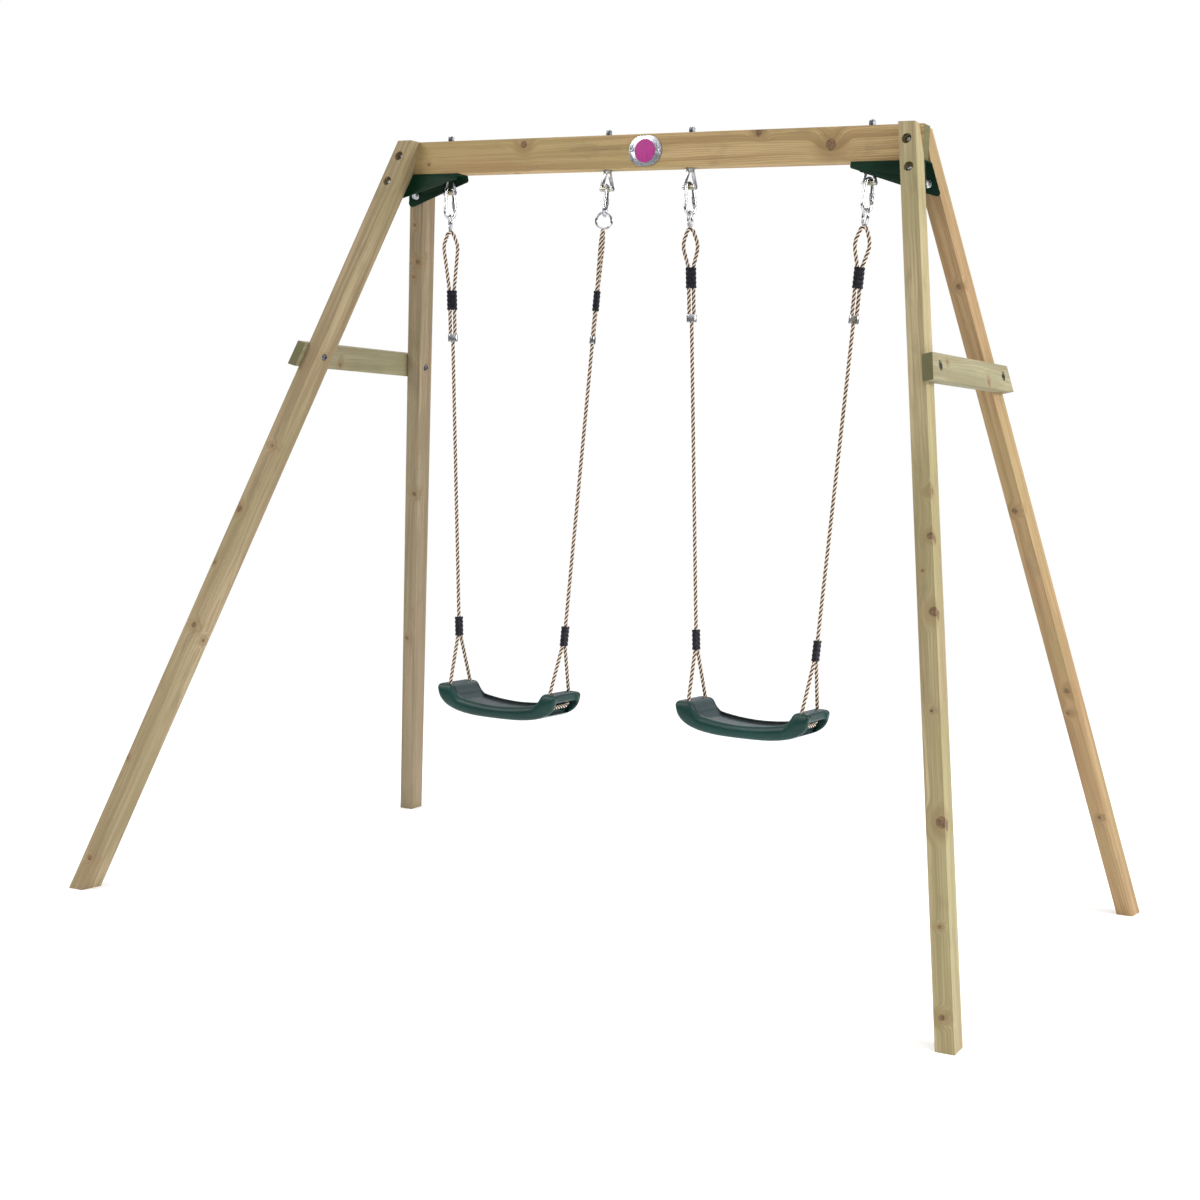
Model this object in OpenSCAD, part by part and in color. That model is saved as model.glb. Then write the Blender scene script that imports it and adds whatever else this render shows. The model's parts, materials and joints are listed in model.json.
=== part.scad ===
// Double garden swing: a timber frame with two rope swings.
// X runs along the top beam, -Y is the front and the feet stand on z = 0.
// The origin lies on the ground, midway between the four feet.

/* [Frame] */
// Height of the top face of the beam above the ground
frame_h = 2100; // [1900:10:2300]
// Length of the top beam
beam_len = 1580; // [1540:10:1700]
// Height of the beam's section
beam_h = 90; // [80:1:100]
// Thickness of the beam's section
beam_t = 45; // [40:1:55]
// Width of a leg's section, seen along the beam
leg_w = 64; // [56:1:72]
// Thickness of a leg's section, seen from the front
leg_t = 44; // [38:1:48]
// Angle that each leg leans out to the front or the back
leg_lean = 19.3; // [15:0.1:24]
// Angle that each leg splays out past the beam's end
leg_splay = 12.4; // [8:0.1:15]
// Distance from the beam's end back to the middle of a leg
leg_inset = 13; // [0:1:25]
// Height of the middle of each side brace above the ground
brace_z = 1480; // [1200:10:1600]
// Height of a side brace's section
brace_h = 68; // [50:1:80]
// Thickness of a side brace
brace_t = 28; // [22:1:32]
// How far a side brace runs past the middle of each leg
brace_over = 52; // [42:1:80]

/* [Steel brackets] */
// Length of a bracket along the beam
bracket_len = 200; // [180:1:220]
// Depth of a bracket's cheek at the leg, below the beam
bracket_drop = 80; // [70:1:95]
// Depth of the bracket's bolts below the beam
bracket_bolt_drop = 38; // [32:1:44]
// Depth of a bracket's cheek at its nose, below the beam
bracket_nose = 19; // [16:1:24]
// Thickness of the bracket's sheet steel
sheet = 3; // [2.5:0.1:4]

/* [Fasteners] */
// Diameter of the frame bolts and the hanger bolts
bolt_d = 10; // [8:1:12]
// Radial clearance of a bolt in its drilled hole
bolt_clear = 0.25; // [0.1:0.05:0.5]
// Diameter of the recess that takes a bolt head or a nut
recess_d = 26; // [24:1:30]
// Depth of the recess in a leg or a brace
recess_deep = 12; // [8:1:14]
// Depth of the recess for the long bolt at the top of a leg
top_recess = 17.8; // [12:0.2:20]
// Thickness of a washer
washer_t = 2; // [1.5:0.1:3]
// Diameter of a pivot pin in a hanger
pin_d = 6; // [5:0.5:8]
// Radial clearance of a turning pin in its hole
pin_clear = 0.08; // [0.02:0.01:0.1]

/* [Hangers and snap hooks] */
// Distance from each end of the beam to the outer hanger
hanger_end = 148; // [130:1:165]
// Distance between the two hangers of one swing
hanger_gap = 515; // [500:1:520]
// Depth of the pivot pin below the beam
pivot_drop = 50; // [46:1:56]
// Diameter of the bush on a hanger's pin
bush_d = 14; // [12:0.5:15]
// Wire diameter of a snap hook
hook_wire = 8; // [7:0.5:9]
// Gap between the bush and the hook that rests on it
hook_gap = 0.4; // [0.3:0.05:0.6]
// Angle that a snap hook is turned out of the plane across the beam
hook_turn = 20; // [0:1:22]
// Outside diameter of the ring in the hook
ring_od = 50; // [46:1:56]
// Wire diameter of the ring
ring_wire = 7; // [6:0.5:8]

/* [Ropes] */
// Diameter of the rope
rope_d = 11; // [9:0.5:12]
// Gap between the two rope strands in an adjuster
strand_clear = 2; // [1.5:0.5:4]
// Height of a two-hole rope adjuster
adjuster_h = 54; // [40:1:60]
// Length from the pivot down to the adjusters of the left swing
adjuster_low = 276; // [240:1:300]
// Length from the pivot down to the adjusters of the right swing
adjuster_high = 213; // [190:1:239]
// Length from an adjuster to the clip that joins both strands
clip_drop = 80; // [50:1:100]
// Height of the lower clamps above the rope holes of the seat
clamp_rise = 134; // [110:1:160]

/* [Seats] */
// Length of a seat, from end to end
seat_len = 394; // [380:2:440]
// Depth of a seat, from front to back
seat_w = 152; // [140:1:180]
// Height of a seat's raised ends
seat_h = 85; // [80:1:96]
// Height of the left seat's underside above the ground
seat_left_z = 481; // [350:1:520]
// Height of the right seat's underside above the ground
seat_right_z = 506; // [350:1:520]
// Wall thickness of the hollow seats
seat_wall = 4; // [3:0.5:5]
// Distance from the end of a seat to its rope holes
hole_inset = 30; // [28:1:36]
// Distance from the side of a seat to its rope holes
hole_side = 25; // [23:0.5:30]
// Radial clearance of a rope in its seat hole
hole_clear = 2.5; // [1:0.5:4]

/* [Badge] */
// Length of the badge on the beam
badge_len = 100; // [80:1:120]
// Height of the badge
badge_h = 80; // [50:1:80]
// Thickness of the badge's plate
badge_t = 3; // [2:0.5:4]
// Width of the badge's rim above and below its round inlay
badge_rim = 9; // [6:1:12]

/* [Hidden] */
$fn = 48;
big = 4000;
beam_z = frame_h - beam_h;
bolt_hole = bolt_d + 2 * bolt_clear;
fit = 0.1;
ball_grow = 0.4;
ball_turn = 35;
link_gap = 0.4;

// Legs: where each one meets the underside of the beam and the ground.
drop_y = tan(leg_lean);
drop_x = tan(leg_splay) / cos(leg_lean);
fold_y = beam_t / 2 + sheet / cos(leg_lean) + fit;
leg_top_y = fold_y + leg_w / 2 / cos(leg_lean);
leg_top_x = beam_len / 2 - leg_inset;
foot_y = leg_top_y + beam_z * drop_y;
foot_x = leg_top_x + beam_z * drop_x;
leg_scale = 1 / (cos(leg_lean) * cos(leg_splay));
side_tilt = atan(drop_x);

// Bolts: the heights of the three joints on each leg.
top_bolt_z = frame_h - beam_h / 2;
top_bolt_x = foot_x - top_bolt_z * drop_x;
top_seat_y = leg_top_y - beam_h / 2 * drop_y + leg_w / 2 / cos(leg_lean) - top_recess;
bracket_bolt_z = beam_z - bracket_bolt_drop;
head_d = recess_d - 6;
head_h = 6;
socket_w = 6;
socket_deep = 3.5;
nut_w = 16;
nut_h = 8;
washer_d = recess_d - 4;

// Hangers, numbered from the left end of the beam.
hanger_out = beam_len / 2 - hanger_end;
hanger_in = hanger_out - hanger_gap;
hanger_x = [-hanger_out, -hanger_in, hanger_in, hanger_out];
hanger_names = ["left_outer", "left_inner", "right_inner", "right_outer"];
pivot_z = beam_z - pivot_drop;
yoke_top = pivot_drop - sheet;
yoke_gap = 26;
yoke_ear = 6;
yoke_t = 10;
yoke_neck = 9;
ear_d = 14;
pin_head = 2;
spacer_d = 26;
lock_nut_h = 5;

// Badge: its inlay and its two screws.
inlay_t = 1;
inlay_d = badge_h - 2 * badge_rim;
screw_d = 4;
badge_screw_x = badge_len / 2 - 2 * screw_d;

// Snap hook: two bows of different radius joined by straight sides.
bow_top = bush_d / 2 + 1 + hook_wire / 2;
bow_low = 17;
bow_top_z = bush_d / 2 + hook_gap + hook_wire / 2 - bow_top;
bow_low_z = -55;
side_lean = asin((bow_low - bow_top) / (bow_top_z - bow_low_z));
side_len = (bow_top_z - bow_low_z) * cos(side_lean);
hook_turns = [hook_turn, -hook_turn, hook_turn, hook_turn];
gate_pivot = 6;
gate_end = 44;
gate_slot = 3;
rivet_d = 3;
sleeve_d = hook_wire + 4;
sleeve_h = 18;
sleeve_at = 11;

// Ring, hooked through the snap hook's lower bow.
ring_r = (ring_od - ring_wire) / 2;
ring_drop = bow_low - bow_low_z - hook_wire / 2 - ring_wire / 2 - link_gap + ring_r;
ring_turns = [-50, hook_turn, -50, -50];

// Rope chain: lengths measured down from the pivot.
loop_r = ring_wire / 2 + rope_d / 2 + link_gap;
loop_top = ring_drop + ring_r;
strand_gap = rope_d + strand_clear;
rope_bore = rope_d + 0.6;
grip_bore = rope_d + 0.2;
flare = 20;
flare_len = 20;
belly_r = 60;
adjuster_at = [adjuster_low, adjuster_low, adjuster_high, adjuster_high];
adjuster_w = strand_gap + rope_d + 5;
adjuster_t = rope_d + 6;
clip_h = 20;
seat_z = [seat_left_z, seat_left_z, seat_right_z, seat_right_z];
swing_x = hanger_in + hanger_gap / 2;
hole_gap = seat_len - 2 * hole_inset;
hole_depth = seat_w - 2 * hole_side;
bend_r = 25;
under_r = 15;
under_drop = 42;

// Seat profile.
seat_curve = 2.8;
rim_mid = 37;
rim_end = 50;
rim_x = seat_len / 2 - 73;
end_x = seat_len / 2 - 51;
pan_deep = 11;
rim_w = 16;
pan_w = seat_w - 2 * rim_w;
slot_h = 28;
slot_w = hole_depth - 10;
slot_drop = 44;
seat_hole_d = rope_d + 2 * hole_clear;

// ---------------------------------------------------------------- helpers

// A cylinder of diameter d between two values along X.
module along_x(d, from, to) {
    translate([from, 0, 0]) rotate([0, 90, 0]) cylinder(d = d, h = to - from);
}

// A cylinder of diameter d between two values along Y.
module along_y(d, from, to) {
    translate([0, from, 0]) rotate([-90, 0, 0]) cylinder(d = d, h = to - from);
}

// A round bar from one point to another.
module bar(d, a, b) {
    run = b - a;
    translate(a)
        rotate([0, acos(run[2] / norm(run)), atan2(run[1], run[0])])
            cylinder(d = d, h = norm(run));
}

// Points along an arc, given as [y, z].
function arc_points(centre, r, from, to, steps) = [
    for (k = [0 : steps])
        let (a = from + (to - from) * k / steps)
            centre + r * [cos(a), sin(a)]
];

// The mirror image of a list of [y, z] points, in the opposite order.
function other_half(points) = [for (k = [len(points) - 1 : -1 : 0]) [-points[k][0], points[k][1]]];

// Direction of a path of [y, z] points at its point k.
function heading(path, k) =
    let (run = path[min(k + 1, len(path) - 1)] - path[max(k - 1, 0)])
        run / norm(run);

// Rope of one diameter along a path of [y, z] points, with flat ends.
module rope_along(d, path, sides = 16) {
    last = len(path) - 1;
    rings = [
        for (k = [0 : last], j = [0 : sides - 1])
            let (h = heading(path, k), a = 360 * j / sides, in = d / 2 * sin(a))
                [d / 2 * cos(a), path[k][0] - h[1] * in, path[k][1] + h[0] * in]
    ];
    skin = [
        for (k = [0 : last - 1], j = [0 : sides - 1])
            let (n = (j + 1) % sides, a = k * sides, b = a + sides)
                [a + j, a + n, b + n, b + j]
    ];
    near_end = [for (j = [sides - 1 : -1 : 0]) j];
    far_end = [for (j = [0 : sides - 1]) last * sides + j];
    polyhedron(points = rings, faces = concat(skin, [near_end, far_end]));
}

// A ball a little larger than the wire, which rounds off a bend or a joint.
module ball(d, at) {
    translate(at) rotate([ball_turn, ball_turn, 0]) sphere(d = d + ball_grow);
}

// An arc of round wire in the Y-Z plane, with a ball at each rounded end.
module wire_arc(centre, r, d, from, to, balls) {
    translate([0, centre[0], centre[1]])
        rotate([90, 0, 90])
            rotate([0, 0, from])
                rotate_extrude(angle = to - from) translate([r, 0]) circle(d = d);
    for (a = balls) ball(d, [0, centre[0] + r * cos(a), centre[1] + r * sin(a)]);
}

// A hexagon nut with its hole, standing on z = 0.
module nut(w = nut_w, h = nut_h, bore = bolt_d) {
    difference() {
        cylinder(d = w / cos(30), h = h, $fn = 6);
        translate([0, 0, -1]) cylinder(d = bore + 0.1, h = h + 2);
    }
}

// A flat washer standing on z = 0.
module washer(d = washer_d, h = washer_t, bore = bolt_hole) {
    difference() {
        cylinder(d = d, h = h);
        translate([0, 0, -1]) cylinder(d = bore, h = h + 2);
    }
}

// A domed bolt head with a hexagon socket, on z = 0, and its shank running down.
module dome_bolt(len) {
    r = (head_d * head_d / 4 + head_h * head_h) / (2 * head_h);
    difference() {
        intersection() {
            translate([0, 0, head_h - r]) sphere(r = r);
            cylinder(d = head_d, h = head_h);
        }
        translate([0, 0, head_h - socket_deep])
            cylinder(d = socket_w / cos(30), h = socket_deep + 1, $fn = 6);
    }
    translate([0, 0, -len]) cylinder(d = bolt_d, h = len);
}

// ------------------------------------------------------------ timber frame

// The frame of one leg: s is -1 left or 1 right, q is -1 front or 1 rear.
// Z runs up the leg, Y across its width and X through its thickness.
module at_leg(s, q) {
    translate([s * foot_x, q * foot_y, 0])
        rotate([q * leg_lean, 0, 0])
            rotate([0, -s * leg_splay, 0])
                children();
}

// Holes and recesses for the three bolts that pass through a leg.
module leg_holes(s, q) {
    translate([s * top_bolt_x, 0, top_bolt_z]) {
        along_y(bolt_hole, -big / 20, big / 20);
        if (q < 0) along_y(recess_d, -big / 20, -top_seat_y);
        else along_y(recess_d, top_seat_y, big / 20);
    }
    at_leg(s, q) {
        translate([0, 0, bracket_bolt_z * leg_scale]) {
            along_y(bolt_hole, -leg_w, leg_w);
            if (q < 0) along_y(recess_d, -leg_w, -leg_w / 2 + recess_deep);
            else along_y(recess_d, leg_w / 2 - recess_deep, leg_w);
        }
        translate([0, 0, brace_z * leg_scale]) along_x(bolt_hole, -leg_t, leg_t);
    }
}

module leg(s, q) {
    color("burlywood") difference() {
        intersection() {
            at_leg(s, q)
                translate([-leg_t / 2, -leg_w / 2, -100]) cube([leg_t, leg_w, frame_h * 1.2]);
            translate([-big / 2, -big / 2, 0]) cube([big, big, frame_h]);
        }
        translate([-big / 2, -beam_t / 2 - fit, beam_z - 150])
            cube([big, beam_t + 2 * fit, beam_h + 200]);
        leg_holes(s, q);
    }
}

module beam() {
    color("burlywood") difference() {
        translate([-beam_len / 2, -beam_t / 2, beam_z]) cube([beam_len, beam_t, beam_h]);
        for (x = hanger_x) translate([x, 0, beam_z - 1]) cylinder(d = bolt_hole, h = beam_h + 2);
        for (s = [-1, 1])
            translate([s * top_bolt_x, 0, top_bolt_z]) along_y(bolt_hole, -beam_t, beam_t);
    }
}

// A board on the outer faces of two legs, its ends cut along the legs.
module brace(s) {
    mid_x = foot_x - brace_z * drop_x + leg_t / 2 / cos(leg_splay);
    mid_y = foot_y - brace_z * drop_y;
    half = mid_y + brace_over;
    cut = brace_h / 2 * drop_y;
    color("burlywood") difference() {
        translate([s * mid_x, 0, brace_z])
            rotate([0, -s * side_tilt, 0])
                translate([s * brace_t / 2, 0, 0])
                    rotate([90, 0, 90])
                        linear_extrude(height = brace_t, center = true)
                            polygon([
                                [-half - cut, -brace_h / 2], [half + cut, -brace_h / 2],
                                [half - cut, brace_h / 2], [-half + cut, brace_h / 2]
                            ]);
        for (q = [-1, 1]) at_leg(s, q) {
            translate([-leg_t / 2 - fit / 2, -leg_w / 2, 0]) cube([leg_t + fit, leg_w, frame_h]);
            translate([0, 0, brace_z * leg_scale]) {
                if (s < 0) {
                    along_x(bolt_hole, -leg_t * 2, 0);
                    along_x(recess_d, -leg_t * 2, -leg_t / 2 - brace_t + recess_deep);
                } else {
                    along_x(bolt_hole, 0, leg_t * 2);
                    along_x(recess_d, leg_t / 2 + brace_t - recess_deep, leg_t * 2);
                }
            }
        }
    }
}

// ---------------------------------------------------------- steel brackets

// Folded channel under the beam: a web and two cheeks that lie on the legs.
module bracket(s) {
    outer = leg_top_x + leg_t / 2;
    nose = outer - bracket_len;
    tip = outer + bracket_drop * drop_x;
    color("darkgreen") difference() {
        union() {
            translate([s > 0 ? nose : -outer, -fold_y, beam_z - sheet])
                cube([bracket_len, 2 * fold_y, sheet]);
            for (q = [-1, 1]) intersection() {
                translate([0, q * foot_y, 0])
                    rotate([q * leg_lean, 0, 0])
                        translate([-big / 2, q > 0 ? -leg_w / 2 - sheet : leg_w / 2, 0])
                            cube([big, sheet, big]);
                rotate([90, 0, 0])
                    linear_extrude(height = big, center = true)
                        cheek(s, nose, outer, tip, 9);
            }
        }
        translate([s * hanger_x[3], 0, beam_z - sheet - 1]) cylinder(d = bolt_hole, h = sheet + 2);
        for (q = [-1, 1]) at_leg(s, q)
            translate([0, 0, bracket_bolt_z * leg_scale]) along_y(bolt_hole, -leg_w, leg_w);
    }
}

// Outline of one cheek in the X-Z plane, with a rounded nose and tip.
module cheek(s, nose, outer, tip, r) {
    low = beam_z - bracket_drop;
    mirror([s > 0 ? 0 : 1, 0]) {
        polygon([
            [nose, beam_z], [outer, beam_z], [tip - 2, low + r], [tip - r, low],
            [tip - 2.6 * r, low + 3], [nose + r, beam_z - bracket_nose], [nose, beam_z - bracket_nose + r]
        ]);
        translate([nose + r, beam_z - bracket_nose + r]) circle(r = r);
        translate([tip - r - 1.5, low + r]) circle(r = r);
    }
}

// ---------------------------------------------------------------- fasteners

// Long bolts through both legs and the beam.
module top_bolts() {
    color("silver") for (s = [-1, 1])
        translate([s * top_bolt_x, -top_seat_y, top_bolt_z])
            rotate([90, 0, 0]) dome_bolt(2 * top_seat_y + nut_h + washer_t + 3);
}

// Bolts through each leg into the bracket, with their heads outside.
module bracket_bolts() {
    color("silver") for (s = [-1, 1], q = [-1, 1]) at_leg(s, q)
        translate([0, q * (leg_w / 2 - recess_deep), bracket_bolt_z * leg_scale])
            rotate([-q * 90, 0, 0]) dome_bolt(leg_w - recess_deep + sheet + washer_t + nut_h + 1);
}

// Bolts through each leg and side brace, with their heads inside.
module brace_bolts() {
    color("silver") for (s = [-1, 1], q = [-1, 1]) at_leg(s, q)
        translate([-s * leg_t / 2, 0, brace_z * leg_scale])
            rotate([0, -s * 90, 0]) dome_bolt(leg_t + brace_t - recess_deep + nut_h + washer_t + 1);
}

// Nuts of all the frame bolts.
module frame_nuts() {
    color("silver") for (s = [-1, 1]) {
        translate([s * top_bolt_x, top_seat_y + washer_t, top_bolt_z]) rotate([-90, 0, 0]) nut();
        for (q = [-1, 1]) at_leg(s, q) {
            translate([0, -q * (leg_w / 2 + sheet + washer_t), bracket_bolt_z * leg_scale])
                rotate([q * 90, 0, 0]) nut();
            translate([s * (leg_t / 2 + brace_t - recess_deep + washer_t), 0, brace_z * leg_scale])
                rotate([0, s * 90, 0]) nut();
        }
    }
}

// Washers under the nuts of the frame and under the hanger nuts.
module washers() {
    color("silver") {
        for (s = [-1, 1]) {
            translate([s * top_bolt_x, top_seat_y, top_bolt_z]) rotate([-90, 0, 0]) washer();
            for (q = [-1, 1]) at_leg(s, q) {
                translate([0, -q * (leg_w / 2 + sheet), bracket_bolt_z * leg_scale])
                    rotate([q * 90, 0, 0]) washer();
                translate([s * (leg_t / 2 + brace_t - recess_deep), 0, brace_z * leg_scale])
                    rotate([0, s * 90, 0]) washer();
            }
        }
        for (x = hanger_x) translate([x, 0, frame_h]) washer();
        for (s = [-1, 1]) translate([s * hanger_in, 0, beam_z - sheet]) washer(d = spacer_d, h = sheet);
    }
}

// ------------------------------------------------------------------ hangers

// A forged yoke on a bolt through the beam, seen here around its own pivot.
module hanger(i) {
    out = yoke_gap / 2 + yoke_ear;
    color("silver") translate([hanger_x[i], 0, pivot_z]) difference() {
        union() {
            rotate([90, 0, 0]) linear_extrude(height = yoke_t, center = true) difference() {
                polygon([
                    [-yoke_neck, yoke_top], [yoke_neck, yoke_top], [out, ear_d / 2],
                    [out, 0], [-out, 0], [-out, ear_d / 2]
                ]);
                polygon([
                    [-4, yoke_top - yoke_neck], [4, yoke_top - yoke_neck], [out - yoke_ear, 8],
                    [out - yoke_ear, -1], [yoke_ear - out, -1], [yoke_ear - out, 8]
                ]);
            }
            along_x(ear_d, -out, -out + yoke_ear);
            along_x(ear_d, out - yoke_ear, out);
            translate([0, 0, yoke_top]) cylinder(d = bolt_d, h = sheet + beam_h + washer_t + 2 * nut_h);
        }
        along_x(pin_d + 0.1, -2 * out, 2 * out);
    }
}

// Pins across the yokes, one for each hanger.
module hanger_pins() {
    out = yoke_gap / 2 + yoke_ear;
    color("silver") for (x = hanger_x) translate([x, 0, pivot_z]) {
        along_x(pin_d, -out - pin_head, out + pin_head);
        along_x(pin_d + 4, -out - pin_head, -out);
        along_x(pin_d + 4, out, out + pin_head);
    }
}

// Bushes on the pins, which carry the snap hooks.
module hanger_bushes() {
    color("goldenrod") for (x = hanger_x) translate([x, 0, pivot_z]) difference() {
        along_x(bush_d, -yoke_gap / 2 + fit, yoke_gap / 2 - fit);
        along_x(pin_d + 2 * pin_clear, -yoke_gap, yoke_gap);
    }
}

// A nut and a thinner lock nut above the beam on each hanger bolt.
module hanger_nuts() {
    color("silver") for (x = hanger_x) translate([x, 0, frame_h + washer_t]) {
        nut();
        translate([0, 0, nut_h]) nut(h = lock_nut_h);
    }
}

// -------------------------------------------------------------------- badge

// A plate with round ends, lying in the X-Z plane and facing the front.
module round_plate(len, high, thick) {
    for (x = [-1, 1]) translate([x * (len - high) / 2, 0, 0]) along_y(high, -thick, 0);
    translate([-(len - high) / 2, -thick, -high / 2]) cube([len - high, thick, high]);
}

module badge_plate() {
    color("silver") translate([0, -beam_t / 2, frame_h - beam_h / 2]) difference() {
        round_plate(badge_len, badge_h, badge_t);
        for (x = [-badge_screw_x, badge_screw_x]) translate([x, 0, 0]) along_y(screw_d, -10, 1);
    }
}

module badge_inlay() {
    color("mediumvioletred") translate([0, -beam_t / 2 - badge_t, frame_h - beam_h / 2])
        along_y(inlay_d, -inlay_t, 0);
}

module badge_screws() {
    color("silver") for (x = [-badge_screw_x, badge_screw_x])
        translate([x, -beam_t / 2 - badge_t, frame_h - beam_h / 2]) {
            intersection() {
                translate([0, 4.5, 0]) sphere(r = 6.5);
                along_y(2 * screw_d, -3, 0);
            }
            along_y(screw_d - 2 * fit, 0, badge_t);
        }
}

// --------------------------------------------------------- snap hook and ring

// Lean of a chain from its hanger in towards the seat's rope holes.
function chain_lean(i) = atan((hanger_gap - hole_gap) / 2 / (pivot_z - seat_z[i] - seat_h));
// Length of a chain from its pivot down to the seat's rope holes.
function chain_len(i) = (pivot_z - seat_z[i] - seat_h) / cos(chain_lean(i));
// Which way a chain leans: 1 is towards -X, -1 towards +X.
function chain_side(i) = i % 2 == 0 ? -1 : 1;

// The frame of one chain: its origin is the pivot, and -Z runs down the rope.
module at_chain(i) {
    translate([hanger_x[i], 0, pivot_z]) rotate([0, chain_side(i) * chain_lean(i), 0]) children();
}

// The frame of one snap hook, whose wire lies in the Y-Z plane.
module at_hook(i) {
    at_chain(i) rotate([0, 0, -hook_turns[i]]) children();
}

// The frame of a hook's gate side: Z runs up along it from the lower bow.
module at_gate_side() {
    translate([0, bow_low * cos(side_lean), bow_low_z + bow_low * sin(side_lean)])
        rotate([side_lean, 0, 0])
            children();
}

// A point on the gate's side of the hook, at a length up from the lower bow.
function gate_side_at(t) = [
    0,
    bow_low * cos(side_lean) - t * sin(side_lean),
    bow_low_z + bow_low * sin(side_lean) + t * cos(side_lean)
];

module hook(i) {
    tongue = gate_slot - 0.4;
    color("lightgrey") at_hook(i) {
        top_end = 180 - side_lean;
        wire_arc([0, bow_top_z], bow_top, hook_wire, side_lean, top_end, [side_lean, top_end]);
        wire_arc([0, bow_low_z], bow_low, hook_wire, top_end, 360 + side_lean, [top_end]);
        bar(hook_wire, gate_side_at(gate_end + 0.4), gate_side_at(side_len));
        mirror([0, 1, 0]) bar(hook_wire, gate_side_at(0), gate_side_at(side_len));
        at_gate_side() {
            translate([-tongue / 2, -3.5, -2]) cube([tongue, 7, gate_pivot + 2]);
            translate([0, 0, gate_pivot]) {
                along_x(hook_wire - 0.4, -tongue / 2, tongue / 2);
                along_x(rivet_d, -hook_wire / 2 - 0.5, hook_wire / 2 + 0.5);
            }
        }
    }
}

module gate(i) {
    color("silver") at_hook(i) at_gate_side() difference() {
        union() {
            translate([0, 0, gate_pivot]) {
                cylinder(d = hook_wire, h = gate_end - gate_pivot);
                along_x(hook_wire, -hook_wire / 2 + 0.4, hook_wire / 2 - 0.4);
            }
        }
        translate([-gate_slot / 2, -hook_wire, -1])
            cube([gate_slot, 2 * hook_wire, gate_pivot + 5.6]);
        translate([0, 0, gate_pivot]) along_x(rivet_d + 2 * pin_clear, -hook_wire, hook_wire);
    }
}

// A grooved lock sleeve on the gate, resting in its unlocked place.
module sleeve(i) {
    color("silver") at_hook(i) at_gate_side() translate([0, 0, sleeve_at]) difference() {
        cylinder(d = sleeve_d, h = sleeve_h);
        translate([0, 0, -1]) cylinder(d = hook_wire + 2 * pin_clear, h = sleeve_h + 2);
        for (z = [3 : 3 : sleeve_h - 3]) translate([0, 0, z])
            rotate_extrude() translate([sleeve_d / 2, 0]) circle(d = 1.2);
    }
}

module ring(i) {
    at_chain(i) rotate([0, 0, ring_turns[i]]) translate([0, 0, -ring_drop])
        rotate([90, 0, 0]) rotate_extrude() translate([ring_r, 0]) circle(d = ring_wire);
}

module rings(first) {
    color("silver") for (i = [first, first + 1]) ring(i);
}

// -------------------------------------------------------------------- ropes

// The frame of a loop rope: its two strands lie in the Y-Z plane.
module at_loop(i) {
    at_chain(i) rotate([0, 0, ring_turns[i]]) children();
}

// Half of a loop: over the ring, round a belly, through the adjuster to the clip.
function half_loop(at) =
    let (
        start = [loop_r * cos(flare), -loop_top + loop_r * sin(flare)],
        belly = start + flare_len * [sin(flare), -cos(flare)] - belly_r * [cos(flare), sin(flare)],
        away = [strand_gap / 2, -at] - belly,
        inward = -atan2(away[1], away[0]) - acos(belly_r / norm(away))
    )
    concat(
        arc_points([0, -loop_top], loop_r, 75, flare, 4),
        arc_points(belly, belly_r, flare, -inward, 5),
        [[strand_gap / 2, -at], [strand_gap / 2, -at - adjuster_h - clip_drop]]
    );

module loop_rope(i) {
    half = half_loop(adjuster_at[i]);
    color("tan") at_loop(i) rope_along(rope_d, concat(other_half(half), half));
}

module main_rope(i) {
    from = -adjuster_at[i] - adjuster_h - clip_drop - 1;
    to = -chain_len(i) + clamp_rise + adjuster_h / 2;
    color("tan") at_chain(i) bar(rope_d, [0, 0, from], [0, 0, to]);
}

// Half of the rope below a clamp: down through a hole to under the seat.
function half_seat_rope(low, hole_z, under_z) =
    let (
        hole_y = hole_depth / 2,
        from_y = strand_gap / 2,
        centre = [hole_y - bend_r, hole_z],
        away = [centre[0] - from_y, low - hole_z],
        bend = atan2(away[0], away[1]) + asin(bend_r / norm(away))
    )
    concat(
        [[from_y, low + adjuster_h / 2 - 2], [from_y, low]],
        arc_points(centre, bend_r, bend, 0, 3),
        arc_points([hole_y - under_r, under_z + under_r], under_r, 0, -90, 6)
    );

// The rope below a clamp: down to one hole, under the seat's end and back up.
module seat_rope(i) {
    hole_z = -chain_len(i);
    half = half_seat_rope(hole_z + clamp_rise, hole_z - 5, hole_z - under_drop);
    color("tan") at_chain(i) rope_along(rope_d, concat(half, other_half(half)));
}

// ------------------------------------------------------------- rope hardware

// A block with rounded sides and ribs, across Y, standing on z = 0.
module ribbed_block(w, t, h, rib) {
    core = t - 2 * rib;
    for (m = [-1, 1]) translate([0, m * (w - t) / 2, 0]) cylinder(d = core, h = h);
    translate([-core / 2, -(w - t) / 2, 0]) cube([core, w - t, h]);
    for (k = [0 : 4]) translate([0, 0, k * (h - 6) / 4]) {
        for (m = [-1, 1]) translate([0, m * (w - t) / 2, 0]) cylinder(d = t, h = 6);
        translate([-t / 2, -(w - t) / 2, 0]) cube([t, w - t, 6]);
    }
}

// Two-hole adjusters that set the length of each loop.
module adjusters(first) {
    color("#2d2a3c") for (i = [first, first + 1]) at_loop(i)
        translate([0, 0, -adjuster_at[i] - adjuster_h]) difference() {
            ribbed_block(adjuster_w, adjuster_t, adjuster_h, 1);
            for (m = [-1, 1]) translate([0, m * strand_gap / 2, -1])
                cylinder(d = rope_bore, h = adjuster_h + 2);
        }
}

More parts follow.
